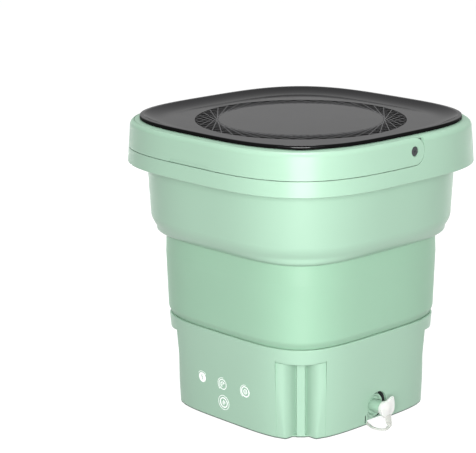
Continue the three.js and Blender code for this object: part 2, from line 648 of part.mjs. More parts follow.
const base = group(
  piece("base_housing", baseHousing(), MATERIAL.shell),
  piece("tub_floor", tubFloor(), MATERIAL.floorPan),
  piece("bottom_cover", bottomCover(), MATERIAL.shell),
  ...cornerPieces("foot", FOOT.spread, FOOT.spread, foot(), MATERIAL.rubber),
  ...cornerPieces("cover_screw", POST.x, POST.y, screw(1.7, 22), MATERIAL.steel),
  ...cornerPieces("gearbox_screw", earSpread, earSpread, screw(48.8, 28), MATERIAL.steel),
  piece("gearbox_tray", gearboxTray(), MATERIAL.innerPlastic),
  piece("gearbox_cover", gearboxCover(), MATERIAL.innerPlastic),
  piece("lower_bearing", bearing(44.8), MATERIAL.steel),
  piece("upper_bearing", bearing(74.6), MATERIAL.steel),
  piece("shaft_seal", shaftSeal(), MATERIAL.rubber),
  piece("motor_can", motorCan(), MATERIAL.steel, [-gearDistance, 0, 0]),
  piece("motor_end_cap", motorEndCap(), MATERIAL.innerPlastic, [-gearDistance, 0, 0]),
  piece("control_board", controlBoard(), MATERIAL.board),
  piece("touch_board", touchBoard(), MATERIAL.board),
  piece("power_inlet", powerInlet(), MATERIAL.innerPlastic),
  piece("motor_lead", tube(LEADS.motor, LEADS.radius, 10, { sides: 6 }), MATERIAL.leadJacket),
  piece("touch_lead", tube(LEADS.touch, LEADS.radius, 12, { sides: 6 }), MATERIAL.leadJacket),
  piece("inlet_lead", tube(LEADS.inlet, LEADS.radius, 6, { sides: 6 }), MATERIAL.leadJacket),
  piece("drain_spout", drainSpout(), MATERIAL.shell),
  piece("drain_hose", drainHose(), MATERIAL.silicone),
  piece("hose_clip_upper", hoseClip(), MATERIAL.steel, [DRAIN.portX, 0, 76]),
  piece("drain_strainer", drainStrainer(), MATERIAL.silicone, [DRAIN.portX, 0, 0]),
  piece("wall_foot_ring", wallFootRing(), MATERIAL.shell),
  piece("fold_wall", foldWall(), MATERIAL.foldWall),
);

const drive = group(
  piece("output_shaft", outputShaft(), MATERIAL.steel),
  piece("drive_wheel", driveWheel(), MATERIAL.nylon),
  piece("pulsator", pulsator(), MATERIAL.pulsator),
  piece("pulsator_screw", pulsatorScrew(), MATERIAL.steel),
);

const rotor = group(
  piece("motor_rotor", motorRotor(), MATERIAL.copper),
  piece("pinion", pinion(), MATERIAL.nylon),
);
rotor.position.x = -gearDistance;

const upperTub = group(
  piece("upper_wall", upperWall(), MATERIAL.shell),
  piece("rim_frame", rimFrame(), MATERIAL.shell),
  piece("pivot_pin_right", pivotPin(1), MATERIAL.innerPlastic),
  piece("pivot_pin_left", pivotPin(-1), MATERIAL.innerPlastic),
);

const carryHandle = group(piece("handle", handle(), MATERIAL.shell));

const lid = group(
  piece("lid_panel", lidPanel(), MATERIAL.lid),
  piece("lid_seal", lidSeal(), MATERIAL.silicone),
);

const plug = group(
  piece("drain_plug", drainPlug(), MATERIAL.silicone),
  piece("plug_tether", tube(TETHER.route, TETHER.radius, 18), MATERIAL.silicone),
);

const washer = group(base, drive, rotor, upperTub, carryHandle, lid, plug);
export default washer;
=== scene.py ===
# Portable mini washer: the visible surfaces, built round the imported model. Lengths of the
# model are millimetres in its own frame; meshes are scaled to metres when made.
import json
import math

import bmesh
import bpy
from mathutils import Matrix, Vector


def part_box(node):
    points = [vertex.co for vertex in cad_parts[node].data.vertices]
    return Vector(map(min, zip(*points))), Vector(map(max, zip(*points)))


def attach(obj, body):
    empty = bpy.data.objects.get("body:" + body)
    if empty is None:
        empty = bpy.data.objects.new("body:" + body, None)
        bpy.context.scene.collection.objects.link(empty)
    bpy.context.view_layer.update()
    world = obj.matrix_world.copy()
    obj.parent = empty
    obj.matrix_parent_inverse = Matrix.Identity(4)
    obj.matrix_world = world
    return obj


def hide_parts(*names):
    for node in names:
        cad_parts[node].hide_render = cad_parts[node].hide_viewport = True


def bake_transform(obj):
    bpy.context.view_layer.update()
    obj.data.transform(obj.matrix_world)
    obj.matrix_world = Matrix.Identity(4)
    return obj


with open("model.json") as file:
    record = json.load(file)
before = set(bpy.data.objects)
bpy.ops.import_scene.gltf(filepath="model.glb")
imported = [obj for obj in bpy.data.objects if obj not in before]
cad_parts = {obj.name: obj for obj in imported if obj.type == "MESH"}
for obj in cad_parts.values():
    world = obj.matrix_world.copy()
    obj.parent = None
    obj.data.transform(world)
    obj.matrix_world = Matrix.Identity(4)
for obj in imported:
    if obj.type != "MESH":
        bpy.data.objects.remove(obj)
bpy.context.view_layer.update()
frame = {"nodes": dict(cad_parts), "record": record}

# ---------------------------------------------------------------- sizes, read from the frame
MM = 0.001


def low_mm(node):
    return [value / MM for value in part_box(node)[0]]


def high_mm(node):
    return [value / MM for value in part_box(node)[1]]


# A "half" is half of a width, measured from the middle.
BASE_BOTTOM = low_mm("base_housing")[2]
BASE_TOP = high_mm("base_housing")[2]
BASE_HALF_LOW, BASE_HALF_HIGH = 106.3, 112.6
BASE_WALL = 2.4
RIM_HALF = high_mm("rim_frame")[0]
RIM_HALF_TOP = RIM_HALF - 3.0
RIM_BOTTOM = low_mm("rim_frame")[2]
RIM_TOP = high_mm("rim_frame")[2]
LID_TOP = high_mm("lid_panel")[2]
LIP_BOTTOM = low_mm("upper_wall")[2]
WALL_TOP = high_mm("upper_wall")[2]
FOLD_TOP = 181.0

COLUMNS = 240  # points round a rounded-square ring
BASE_EXPONENT, FOLD_EXPONENT, RIM_EXPONENT = 4.25, 4.2, 3.36
EXPONENT_BLEND = 9.0  # height over which the plan changes above the fold wall
WELD = 0.00001  # metres within which two points are one

# The fluted notch at each corner of the base. A "reach" is a distance from the middle along
# the diagonal; LOBE_MIDDLE and the halves lie across it.
FLUTE_TOP = 79.5
FLUTE_HALF = 24.5
FLUTE_STEP = 0.35  # least depth of the flute under the housing's face
FLUTE_ARCH = 1.6  # rise of the flute's top edge from its middle to its ends
LOBE_REACH, LOBE_MIDDLE, LOBE_DROP = 125.2, 18.5, 1.3
GROOVE_REACH, GROOVE_HALF = 114.8, 5.2
RIB_REACH, RIB_HALF = 119.6, 4.3
FLANGE_TOP, FLANGE_DEPTH = 2.6, 8.1
SHELL_BOTTOM = BASE_BOTTOM + 0.9

DRAIN_Y, DRAIN_Z = -1.3, 18.2
SPOUT_RADIUS, BORE_RADIUS = 7.3, 4.3
SPOUT_END = high_mm("drain_spout")[0]
NICHE_RADIUS, NICHE_Y, NICHE_Z, NICHE_FLOOR = 13.6, 0.7, 19.2, 99.5
NICHE_FLARE = 0.4
SLIT_START, SLIT_END, SLIT_LOW, SLIT_HIGH = -16.2, -14.6, 2.8, 11.2

PIVOT_Y, PIVOT_Z = 4.0, 283.2
BOSS_RADIUS = 13.6
HANDLE_INNER, SLOT_INNER = 146.0, 144.8
NOTCH_HALF, NOTCH_HEIGHT = 27.0, 4.2
PIN_FACE = high_mm("pivot_pin_right")[0]
PIN_BORE = 3.3
SLOT_MARGIN, BAIL_MARGIN = 0.2, -0.45  # slot and bar, against the radius of the round end
POCKET_FLOOR = 138.0


# ---------------------------------------------------------------- materials
def new_material(name):
    material = bpy.data.materials.new(name)
    material.use_nodes = True
    tree = material.node_tree
    return material, tree, tree.nodes["Principled BSDF"]


def noise(tree, scale, detail=3.0):
    coordinates = tree.nodes.new("ShaderNodeTexCoord")
    texture = tree.nodes.new("ShaderNodeTexNoise")
    texture.inputs["Scale"].default_value = scale
    texture.inputs["Detail"].default_value = detail
    tree.links.new(coordinates.outputs["Object"], texture.inputs["Vector"])
    return texture.outputs["Fac"]


def ramp(tree, factor, low, high, first, last):
    """A colour that runs from first to last as the factor goes from low to high."""
    node = tree.nodes.new("ShaderNodeValToRGB")
    node.color_ramp.elements[0].position = low
    node.color_ramp.elements[1].position = high
    node.color_ramp.elements[0].color = (*first, 1)
    node.color_ramp.elements[1].color = (*last, 1)
    tree.links.new(factor, node.inputs["Fac"])
    return node.outputs["Color"]


def spread(tree, factor, first, last):
    """A value from first to last over the middle of a noise's range."""
    node = tree.nodes.new("ShaderNodeMapRange")
    node.inputs["From Min"].default_value = 0.3
    node.inputs["From Max"].default_value = 0.7
    node.inputs["To Min"].default_value = first
    node.inputs["To Max"].default_value = last
    tree.links.new(factor, node.inputs["Value"])
    return node.outputs["Result"]


def bump(tree, factor, shader, strength, distance):
    node = tree.nodes.new("ShaderNodeBump")
    node.inputs["Strength"].default_value = strength
    node.inputs["Distance"].default_value = distance
    tree.links.new(factor, node.inputs["Height"])
    tree.links.new(node.outputs["Normal"], shader.inputs["Normal"])


def shade(colour, factor):
    return tuple(min(1.0, value * factor) for value in colour)


def linear(red, green, blue):
    """Linear colour from display values out of 255."""
    def channel(value):
        value /= 255
        return value / 12.92 if value <= 0.04045 else ((value + 0.055) / 1.055) ** 2.4
    return channel(red), channel(green), channel(blue)


def plastic(name, colour, roughness, grain=900.0, grain_depth=0.00002, mottle=0.02, subsurface=0.0):
    """Moulded plastic: faint mottling, an uneven sheen and a fine moulded grain."""
    material, tree, shader = new_material(name)
    slow = noise(tree, 9.0)
    links = tree.links
    tint = ramp(tree, slow, 0.3, 0.7, shade(colour, 1 - mottle), shade(colour, 1 + mottle))
    links.new(tint, shader.inputs["Base Color"])
    patch = noise(tree, 60.0, 5.0)
    links.new(spread(tree, patch, roughness - 0.01, roughness + 0.015), shader.inputs["Roughness"])
    bump(tree, noise(tree, grain, 2.0), shader, 0.25, grain_depth)
    shader.inputs["Subsurface Weight"].default_value = subsurface
    shader.inputs["Subsurface Radius"].default_value = (0.004, 0.006, 0.005)
    shader.inputs["Subsurface Scale"].default_value = 1.0
    return material


def gloss(name, colour, roughness):
    """Polished dark plastic with faint handling marks in its sheen."""
    material, tree, shader = new_material(name)
    tint = ramp(tree, noise(tree, 12.0), 0.3, 0.7, shade(colour, 0.85), shade(colour, 1.15))
    tree.links.new(tint, shader.inputs["Base Color"])
    marks = noise(tree, 35.0, 8.0)
    tree.links.new(spread(tree, marks, roughness * 0.8, roughness * 1.4), shader.inputs["Roughness"])
    bump(tree, noise(tree, 22.0, 1.0), shader, 0.1, 0.0001)
    return material


def metal(name, colour, roughness):
    """Turned or drawn metal with a fine directional grain."""
    material, tree, shader = new_material(name)
    tint = ramp(tree, noise(tree, 30.0), 0.3, 0.7, shade(colour, 0.9), shade(colour, 1.08))
    tree.links.new(tint, shader.inputs["Base Color"])
    streaks = noise(tree, 400.0, 4.0)
    tree.links.new(spread(tree, streaks, roughness - 0.05, roughness + 0.12), shader.inputs["Roughness"])
    bump(tree, streaks, shader, 0.15, 0.00001)
    shader.inputs["Metallic"].default_value = 1.0
    return material


MINT = linear(144, 176, 155)
MATERIALS = {
    "shell": plastic("mint_shell", MINT, 0.34),
    "floor_pan": plastic("mint_floor_pan", linear(139, 179, 152), 0.42),
    "fold_wall": plastic("mint_fold_wall", linear(136, 173, 148), 0.42, 700.0, 0.00003, 0.02, 0.08),
    "lid": gloss("smoked_lid", (0.010, 0.010, 0.011), 0.10),
    # Duller black for the lid's edge faces: painted shade.
    "lid_edge": plastic("lid_edge_painted_shade", (0.004, 0.004, 0.004), 0.5, 1500.0, 0.00001, 0.1),
    "lid_ring": plastic("lid_ring_bed", (0.006, 0.006, 0.006), 0.6, 1500.0, 0.00001, 0.1),
    "lid_lines": gloss("lid_ring_lines", linear(72, 72, 74), 0.15),
    "silicone": plastic("milky_silicone", linear(208, 209, 206), 0.48, 1200.0, 0.00001, 0.02, 0.1),
    "strap": plastic("clear_strap", linear(182, 184, 178), 0.4, 1200.0, 0.00001, 0.02, 0.1),
    "pulsator": plastic("grey_pulsator", linear(216, 214, 214), 0.35, 1200.0, 0.00001, 0.02),
    "inner_plastic": plastic("charcoal_plastic", (0.03, 0.032, 0.035), 0.5),
    # Painted shade: dark plastic for the strip under the housing and the pads in the handle's hollows.
    "edge": plastic("painted_shade_dark", linear(84, 98, 90), 0.6),
    # Black rubber for the feet; the niche ring also uses it as painted shade.
    "rubber": plastic("black_rubber_and_shade", (0.02, 0.021, 0.022), 0.75, 500.0, 0.00005, 0.1),
    "steel": metal("brushed_steel", (0.62, 0.63, 0.64), 0.3),
    "board": plastic("board_green", (0.012, 0.10, 0.04), 0.4, 1500.0, 0.00002, 0.15),
    "lead_jacket": plastic("lead_jacket", (0.30, 0.02, 0.015), 0.45),
    "copper": metal("copper_winding", (0.72, 0.30, 0.15), 0.35),
    "nylon": plastic("natural_nylon", linear(230, 226, 212), 0.42, 1000.0, 0.00001, 0.03, 0.1),
    "print": plastic("white_print", linear(246, 249, 247), 0.5, 1500.0, 0.00001, 0.01),
}
# The lid's edge faces reflect less, as painted shade; the ring's dark bed reflects less too.
for dark in ("lid_edge", "lid_ring"):
    MATERIALS[dark].node_tree.nodes["Principled BSDF"].inputs["IOR"].default_value = 1.08


# ---------------------------------------------------------------- mesh tools
def link(name, mesh):
    piece = bpy.data.objects.new(name, mesh)
    bpy.context.scene.collection.objects.link(piece)
    return piece


def tidy_mesh(mesh):
    shape = bmesh.new()
    shape.from_mesh(mesh)
    bmesh.ops.remove_doubles(shape, verts=shape.verts, dist=WELD)
    bmesh.ops.dissolve_degenerate(shape, edges=shape.edges, dist=WELD / 10)
    bmesh.ops.recalc_face_normals(shape, faces=shape.faces)
    shape.to_mesh(mesh)
    shape.free()


def solid(name, points, faces):
    """An object from points in millimetres."""
    mesh = bpy.data.meshes.new(name)
    mesh.from_pydata([(x * MM, y * MM, z * MM) for x, y, z in points], [], faces)
    tidy_mesh(mesh)
    return link(name, mesh)


def stacked(name, rings, closed=False):
    """A solid skinned over rings of equal length; the ends are capped unless the stack closes on itself."""
    size = len(rings[0])
    points = [point for ring in rings for point in ring]
    faces = []
    steps = len(rings) if closed else len(rings) - 1
    for row in range(steps):
        here = row * size
        there = ((row + 1) % len(rings)) * size
        for column in range(size):
            after = (column + 1) % size
            faces.append((here + column, here + after, there + after, there + column))
    if not closed:
        last = (len(rings) - 1) * size
        faces.append(tuple(range(size))[::-1])
        faces.append(tuple(range(last, last + size)))
    return solid(name, points, faces)


def rounded(points, steps=5):
    """A closed outline whose (across, up, radius) corners are turned into arcs."""
    outline = []
    for index, (across, up, radius) in enumerate(points):
        corner = Vector((across, up))
        if radius == 0:
            outline.append((across, up))
            continue
        before = Vector(points[index - 1][:2]) - corner
        after = Vector(points[(index + 1) % len(points)][:2]) - corner
        half = before.angle(after) / 2
        reach = min(radius / math.tan(half), before.length * 0.49, after.length * 0.49)
        radius = reach * math.tan(half)
        before.normalize()
        after.normalize()
        centre = corner + (before + after).normalized() * (radius / math.sin(half))
        start = corner + before * reach - centre
        finish = corner + after * reach - centre
        first = math.atan2(start.y, start.x)
        turn = (math.atan2(finish.y, finish.x) - first + math.pi) % (2 * math.pi) - math.pi
        for step in range(steps + 1):
            angle = first + turn * step / steps
            outline.append((centre.x + radius * math.cos(angle), centre.y + radius * math.sin(angle)))
    return outline


def filled(outline, spacing):
    """The same closed outline with long straight stretches divided."""
    result = []
    for index, (across, up) in enumerate(outline):
        result.append((across, up))
        next_across, next_up = outline[(index + 1) % len(outline)]
        length = math.hypot(next_across - across, next_up - up)
        parts = max(1, math.ceil(length / spacing))
        for part in range(1, parts):
            share = part / parts
            result.append((across + (next_across - across) * share, up + (next_up - up) * share))
    return result


def exponent_at(z):
    """Superellipse exponent of the tub's plan at a height: squarer at the base, rounder at the rim."""
    share = min(1.0, max(0.0, (z - FOLD_TOP) / EXPONENT_BLEND))
    blend = share * share * (3 - 2 * share)
    low = BASE_EXPONENT + (FOLD_EXPONENT - BASE_EXPONENT) * min(z, FOLD_TOP) / FOLD_TOP
    return low + (RIM_EXPONENT - low) * blend


def on_plan(angle, half_width, z):
    """The point of the tub's rounded-square plan in a direction from the middle."""
    across, along = math.cos(angle), math.sin(angle)
    power = exponent_at(z)
    stretch = half_width * (abs(across) ** power + abs(along) ** power) ** (-1 / power)
    return across * stretch, along * stretch, z


def squared_ring(half_width, z):
    return [on_plan(2 * math.pi * column / COLUMNS, half_width, z) for column in range(COLUMNS)]


def squared(name, outline, closed=True):
    """A rounded-square solid swept from a (half width, z) outline."""
    return stacked(name, [squared_ring(half_width, z) for half_width, z in outline], closed)


def turned(name, outline, place=None, closed=False, sides=64):
    """A round solid about Z from a (radius, z) outline, then moved by a matrix in millimetres."""
    place = place or Matrix.Identity(4)
    rings = []
    for radius, z in outline:
        ring = []
        for side in range(sides):
            angle = 2 * math.pi * side / sides
            ring.append(tuple(place @ Vector((radius * math.cos(angle), radius * math.sin(angle), z))))
        rings.append(ring)
    return stacked(name, rings, closed)


def prism(name, outline, start, finish, to_space):
    """A plan outline pushed from start to finish, each (a, b, depth) mapped by to_space."""
    rings = [[to_space(a, b, depth) for a, b in outline] for depth in (start, finish)]
    return stacked(name, rings)


def side_prism(name, outline, start=-200, finish=200):
    """A (y, z) outline pushed along X."""
    return prism(name, outline, start, finish, lambda y, z, depth: (depth, y, z))


def along_x(y, z):
    """Matrix that turns Z into +X and sets the line at y, z."""
    return Matrix.Translation((0, y, z)) @ Matrix.Rotation(math.radians(90), 4, "Y")


def along_y(x, z):
    """Matrix that turns Z into +Y and sets the line at x, z."""
    return Matrix.Translation((x, 0, z)) @ Matrix.Rotation(math.radians(-90), 4, "X")


def combine(first, second, operation="DIFFERENCE"):
    """Boolean of two objects; the second is used up."""
    modifier = first.modifiers.new("combine", "BOOLEAN")
    modifier.operation = operation
    modifier.solver = "MANIFOLD"
    modifier.object = second
    graph = bpy.context.evaluated_depsgraph_get()
    mesh = bpy.data.meshes.new_from_object(first.evaluated_get(graph))
    first.modifiers.clear()
    old = first.data
    first.data = mesh
    bpy.data.meshes.remove(old)
    bpy.data.objects.remove(second)
    return first


def merged(name, pieces):
    """One object from several, which are used up."""
    shape = bmesh.new()
    for piece in pieces:
        shape.from_mesh(piece.data)
    mesh = bpy.data.meshes.new(name)
    shape.to_mesh(mesh)
    shape.free()
    for piece in pieces:
        bpy.data.objects.remove(piece)
    return link(name, mesh)


def finished(piece, slot, body, replaces=(), material=None, sharp=32):
    """Shading, material and body of a finished piece; the slot only picks the default material."""
    mesh = piece.data
    mesh.polygons.foreach_set("use_smooth", [True] * len(mesh.polygons))
    mesh.set_sharp_from_angle(angle=math.radians(sharp))
    mesh.materials.clear()
    mesh.materials.append(material or MATERIALS[slot])
    weight = piece.modifiers.new("weighted_normals", "WEIGHTED_NORMAL")
    weight.keep_sharp = True
    if body:
        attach(piece, body)
    if replaces:
        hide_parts(*replaces)
    return piece


# ---------------------------------------------------------------- camera, lights and floor
CAMERA_DISTANCE, CAMERA_LENS, CAMERA_SHIFT = 1.8, 132.6, (-0.132, 0.093)
CAMERA_AZIMUTH, CAMERA_ELEVATION = math.radians(45), math.radians(15.7)
TARGET = Vector((0, 0, 0.137))


def towards(azimuth, elevation):
    """Unit vector from the object; azimuth 0 looks along +Y."""
    level = math.cos(elevation)
    return Vector((level * math.sin(azimuth), -level * math.cos(azimuth), math.sin(elevation)))


def aim(piece, point):
    piece.rotation_euler = (point - piece.location).to_track_quat("-Z", "Y").to_euler()


def add_camera():
    data = bpy.data.cameras.new("camera")
    data.lens = CAMERA_LENS
    data.sensor_width = 36.0
    data.shift_x, data.shift_y = CAMERA_SHIFT
    data.clip_end = 50
    camera = bpy.data.objects.new("camera", data)
    camera.location = TARGET + towards(CAMERA_AZIMUTH, CAMERA_ELEVATION) * CAMERA_DISTANCE
    bpy.context.scene.collection.objects.link(camera)
    aim(camera, TARGET)
    bpy.context.scene.camera = camera


def add_light(name, azimuth, elevation, distance, size, power, glossy=True):
    data = bpy.data.lights.new(name, "AREA")
    data.shape = "RECTANGLE"
    data.size = size[0]
    data.size_y = size[1]
    data.energy = power
    light = bpy.data.objects.new(name, data)
    light.location = TARGET + towards(math.radians(azimuth), math.radians(elevation)) * distance
    light.visible_camera = False
    light.visible_glossy = glossy
    bpy.context.scene.collection.objects.link(light)
    aim(light, TARGET)


def add_stage():
    world = bpy.data.worlds.new("studio")
    bpy.context.scene.world = world
    world.use_nodes = True
    background = world.node_tree.nodes["Background"]
    background.inputs["Color"].default_value = (1, 1, 1, 1)
    background.inputs["Strength"].default_value = 0.34
    add_light("key", 46, 14, 1.5, (0.6, 0.6), 24, glossy=False)
    add_light("front_low", 48, 5, 1.5, (0.9, 0.4), 9)
    add_light("overhead", 45, 78, 1.5, (0.7, 0.7), 14)
    add_light("back_panel", 225, 32, 2.2, (4.4, 3.4), 4.4)
    add_light("rim_left", -97, 6, 1.4, (0.3, 0.8), 30, glossy=False)
    add_light("rim_right", 184, 6, 1.4, (0.3, 0.8), 25, glossy=False)
    add_floor()
    settings = bpy.context.scene.view_settings
    settings.view_transform = "Standard"
    settings.look = "None"


def add_floor():
    """A wide pale floor that glows evenly and throws no light back onto the washer."""
    side = 8000
    corners = [(-side, -side, 0), (side, -side, 0), (side, side, 0), (-side, side, 0)]
    floor = solid("studio_floor", corners, [(0, 1, 2, 3)])
    material, tree, shader = new_material("pale_floor")
    tint = ramp(tree, noise(tree, 3.0), 0.3, 0.7, (0.09, 0.09, 0.09), (0.11, 0.11, 0.11))
    tree.links.new(tint, shader.inputs["Base Color"])
    shader.inputs["Roughness"].default_value = 0.9
    shader.inputs["Emission Color"].default_value = (1, 1, 1, 1)
    shader.inputs["Emission Strength"].default_value = 0.95
    floor.data.materials.append(material)
    floor.visible_diffuse = False


add_camera()
add_stage()


# ---------------------------------------------------------------- base housing
def base_half(z):
    return BASE_HALF_LOW + (BASE_HALF_HIGH - BASE_HALF_LOW) * z / BASE_TOP


def flute_profile(margin):
    """(across, reach) points from one edge of the fluted corner to the other, margin deeper."""
    rib, groove, lobe = RIB_REACH - margin, GROOVE_REACH - margin, LOBE_REACH - margin
    rib_half = RIB_HALF - margin * 0.8
    groove_half = GROOVE_HALF + margin
    turn = 0.9
    half = [(0, rib), (rib_half * 0.5, rib)]
    for step in range(5):
        angle = math.radians(90 - 22.5 * step)
        half.append((rib_half - turn + turn * math.cos(angle), rib - turn + turn * math.sin(angle)))
    half.append((rib_half + 0.05, groove + 0.8))
    half.append((rib_half + 0.25, groove + 0.2))
    half.append((groove_half - 0.1, groove))
    steps = 14
    for step in range(1, steps + 1):
        share = step / steps
        across = groove_half + (LOBE_MIDDLE - groove_half) * share
        half.append((across, groove + (lobe - groove) * math.sin(math.pi / 2 * share)))
    for share in (0.25, 0.5, 0.75, 1.0):
        along = LOBE_MIDDLE + (FLUTE_HALF + margin - LOBE_MIDDLE) * share
        half.append((along, lobe - LOBE_DROP * share ** 2))
    return [(-across, reach) for across, reach in reversed(half[1:])] + half


def base_columns(margin):
    """Directions round the base: plain stretches, and the four fluted corners with their depth."""
    profile = flute_profile(margin)
    edge = math.atan2(*profile[-1])
    columns = []
    for quadrant in range(4):
        middle = math.pi / 4 + quadrant * math.pi / 2
        for across, reach in profile:
            columns.append((middle + math.atan2(across, reach), math.hypot(across, reach), across))
        plain = 44
        span = math.pi / 2 - 2 * edge
        shares = [0.0008, *(step / plain for step in range(1, plain)), 0.9992]
        for share in shares:
            columns.append((middle + edge + span * share, None, None))
    return columns


def base_ring(columns, z, inset, depth, undercut=0.0):
    """One ring of the housing: inset inwards, and sunk up to depth into the fluted corners."""
    ring = []
    for angle, reach, across in columns:
        x, y, _ = on_plan(angle, base_half(z) - inset, z)
        outer = math.hypot(x, y)
        height = z
        if reach is not None and depth > 0:
            sunk = min(outer - FLUTE_STEP, reach - inset)
            sunk -= undercut * (1 - (across / (FLUTE_HALF + 3)) ** 2)
            share = min(1.0, depth / max(outer - sunk, 1e-6))
            moved = outer + (sunk - outer) * share
            x, y = x * moved / outer, y * moved / outer
        if reach is not None and abs(z - FLUTE_TOP) < 4:
            height += FLUTE_ARCH * (across / FLUTE_HALF) ** 2
        ring.append((x, y, height))
    return ring


def arch(radius, bottom=-8.0):
    """The niche's outline: straight sides, round top, open below the housing."""
    outline = [(NICHE_Y - radius, bottom), (NICHE_Y + radius, bottom)]
    steps = 28
    for step in range(steps + 1):
        angle = math.pi * step / steps
        outline.append((NICHE_Y + radius * math.cos(angle), NICHE_Z + radius * math.sin(angle)))
    return outline


def niche_solid(name, grow, flare):
    """The niche as a solid; flare widens its mouth into a rounded edge that follows the leaning face."""
    stations = [(None, 0.0), (-flare, 0.0), (-0.35 * flare, 0.25 * flare), (0.0, 0.9 * flare)]
    stations += [(1.0, 2 * flare), (12.0, 2 * flare)]
    rings = []
    for station, widen in stations:
        ring = []
        for y, z in arch(NICHE_RADIUS + grow + widen):
            x = NICHE_FLOOR - grow if station is None else base_half(max(z, 0)) + station
            ring.append((x, y, z))
        rings.append(ring)
    return stacked(name, rings)


DEEP = 99.0  # more than any flute is sunk
SLOPING_WALLS = (8, 16, 26, 38, 50, 62, 70, 75)
FOOT_BEND, SHOULDER_BEND = 0.7, 1.1


def base_outside():
    """The housing's outer rings, from the bottom flange to the top edge."""
    outside = base_columns(0.0)
    rings = []
    for step in range(4):
        angle = math.pi / 2 * step / 3
        rings.append(base_ring(outside, SHELL_BOTTOM + FOOT_BEND * (1 - math.cos(angle)),
                               FOOT_BEND * (1 - math.sin(angle)), FLANGE_DEPTH))
    rings.append(base_ring(outside, FLANGE_TOP, 0, FLANGE_DEPTH))
    rings.append(base_ring(outside, FLANGE_TOP + 0.3, 0, DEEP))
    for z in SLOPING_WALLS:
        rings.append(base_ring(outside, z, 0, DEEP))
    for rise, depth, undercut in ((-1.8, DEEP, 0), (-1.6, DEEP, 1.6), (0, DEEP, 1.6), (0.02, 0.9, 0),
                                  (0.15, 0.5, 0), (0.45, 0.15, 0), (0.9, 0.0, 0)):
        rings.append(base_ring(outside, FLUTE_TOP + rise, 0, depth, undercut))
    for z in (82, 86, 90):
        rings.append(base_ring(outside, z, 0, 0))
    for step in range(5):
        angle = math.pi / 2 * step / 4
        rings.append(base_ring(outside, BASE_TOP - SHOULDER_BEND * (1 - math.sin(angle)),
                               SHOULDER_BEND * (1 - math.cos(angle)), 0))
    return rings


def base_inside():
    """The housing's inner rings, from the top edge down to the bottom."""
    inside = base_columns(BASE_WALL)
    shelf = FLUTE_TOP + BASE_WALL
    levels = [(BASE_TOP, 0), (90, 0), (shelf + 0.5, 0), (shelf, 0), (shelf - 0.05, DEEP)]
    levels += [(z, DEEP) for z in (75, 60, 40, 20, SHELL_BOTTOM)]
    return [base_ring(inside, z, BASE_WALL, depth) for z, depth in levels]


def base_housing():
    housing = stacked("base_shell", base_outside() + base_inside(), closed=True)
    pocket = niche_solid("niche_pocket", BASE_WALL, 0.0)
    trim = squared("trim", [(20, SHELL_BOTTOM), (base_half(0) - 0.9, SHELL_BOTTOM),
                            (base_half(60) - 0.9, 60), (20, 60)], closed=False)
    pocket = combine(pocket, trim, "INTERSECT")
    housing = combine(housing, pocket, "UNION")
    housing = combine(housing, niche_solid("niche", 0.0, NICHE_FLARE))
    spout_hole = turned("spout_hole", [(SPOUT_RADIUS + 0.4, 88), (SPOUT_RADIUS + 0.4, 130)],
                        along_x(DRAIN_Y, DRAIN_Z))
    housing = combine(housing, spout_hole)
    inlet_hole = turned("inlet_hole", [(6.4, 92), (6.4, 130)], along_y(0, 24))
    housing = combine(housing, inlet_hole)
    housing = combine(housing, side_prism("slit", slit_outline(0.0), 101, 116))
    finished(housing, "shell", "base", ["base_housing"])


def slit_outline(margin):
    """The upright slit beside the drain, as (y, z), grown by a margin."""
    start, end = SLIT_START - margin, SLIT_END + margin
    low, high = SLIT_LOW - margin, SLIT_HIGH + margin
    return [(start, low), (end, low), (end, high), (start, high)]


def slit_shade():
    """A dark plate just behind the housing's face, seen through the slit: painted shade for the slit's dark
    depth.
    """
    plate = side_prism("slit_shade", slit_outline(0.2), 104.0, 106.3)
    finished(plate, "inner_plastic", "base", material=MATERIALS["lid_ring"])


def bottom_edge():
    """The dark strip under the housing's bottom flange, open at the niche; its dark colour is painted shade
    for the shadow line along the bottom.
    """
    outside, inside = base_columns(0.0), base_columns(BASE_WALL)
    strip = stacked("bottom_edge", [
        base_ring(outside, SHELL_BOTTOM - 0.05, 0.3, FLANGE_DEPTH + 0.3),
        base_ring(outside, BASE_BOTTOM + 0.2, 0.3, FLANGE_DEPTH + 0.3),
        base_ring(outside, BASE_BOTTOM, 0.5, FLANGE_DEPTH + 0.3),
        base_ring(inside, BASE_BOTTOM, BASE_WALL, DEEP),
        base_ring(inside, SHELL_BOTTOM - 0.05, BASE_WALL, DEEP),
    ], closed=True)
    strip = combine(strip, niche_solid("strip_cut", 0.0, NICHE_FLARE))
    finished(strip, "shell", "base", material=MATERIALS["edge"])


base_housing()
bottom_edge()
slit_shade()


# ---------------------------------------------------------------- fold wall and upper wall
def fold_wall():
    outline = filled(rounded([
        (104.5, 93.4, 0.2), (109.5, 93.4, 0.2), (109.5, 95.5, 0.2), (110.6, 95.5, 0.3), (113.2, 102, 9),
        (114.8, 160, 20), (114.3, 176, 5), (114.3, 182.9, 0.5), (116.2, 183, 0.4), (117.8, 183.9, 0.3),
        (117.6, 185.6, 0.3), (113, 184.6, 1.0), (112.4, 176, 5), (113.2, 160, 20), (112.5, 110, 8),
        (112.2, 99, 1.5), (109.9, 97.0, 0.4), (109.9, 95.3, 0.2), (104.5, 95.3, 0.2),
    ], 4), 2.5)
    skin = squared("fold_skin", outline)
    finished(skin, "fold_wall", None, ["fold_wall"])
    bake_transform(skin)


